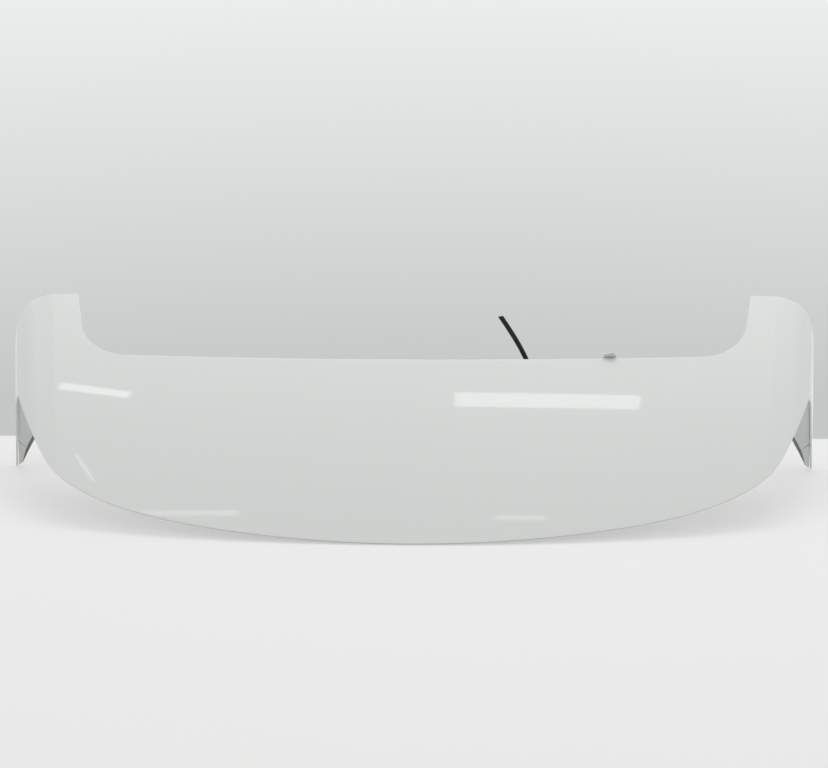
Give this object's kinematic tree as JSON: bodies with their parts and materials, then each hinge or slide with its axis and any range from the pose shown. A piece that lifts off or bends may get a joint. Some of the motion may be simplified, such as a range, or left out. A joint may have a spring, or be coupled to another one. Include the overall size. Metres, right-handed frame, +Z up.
{
  "type": "tailgate spoiler",
  "caption": "Hollow white tailgate spoiler with a wide swept blade, forward horns, side fins, tailgate studs and a washer hose stub.",
  "frame": {"origin": "bottom centre of its box as it stands on both fin tips and its trailing edge", "axes": "+X to the right seen from behind the car, +Y forward towards the roof, +Z up from the floor it stands on"},
  "size_m": [1.1804, 0.3666, 0.2482],
  "materials": {
    "white_gloss_paint": "white two-coat gloss paint over moulded plastic",
    "white_satin_moulding": "white paint, satin, on the underside moulding",
    "black_seal_rubber": "soft black sealing rubber",
    "adhesive_tape": "grey foam adhesive tape",
    "pad_foam": "closed-cell foam",
    "zinc_steel": "zinc-plated steel",
    "clip_nylon": "natural nylon",
    "black_moulding": "black moulded plastic",
    "nozzle_brass": "turned brass ball",
    "hose_rubber": "black rubber hose"
  },
  "bodies": {
    "root": {"upper_skin": "white_gloss_paint", "lower_skin": "white_satin_moulding", "left_fin_cover": "white_satin_moulding", "right_fin_cover": "white_satin_moulding", "glass_seal": "black_seal_rubber", "left_fin_tape": "adhesive_tape", "right_fin_tape": "adhesive_tape", "left_horn_pad": "pad_foam", "right_horn_pad": "pad_foam", "mounting_studs": "zinc_steel", "stud_gaskets": "pad_foam", "retainer_clips": "clip_nylon", "washer_jet": "black_moulding", "jet_nozzle": "nozzle_brass", "jet_gasket": "black_seal_rubber", "hose_grommet": "black_seal_rubber", "washer_hose_inner": "hose_rubber", "washer_hose": "hose_rubber"}
  },
  "joints": []
}
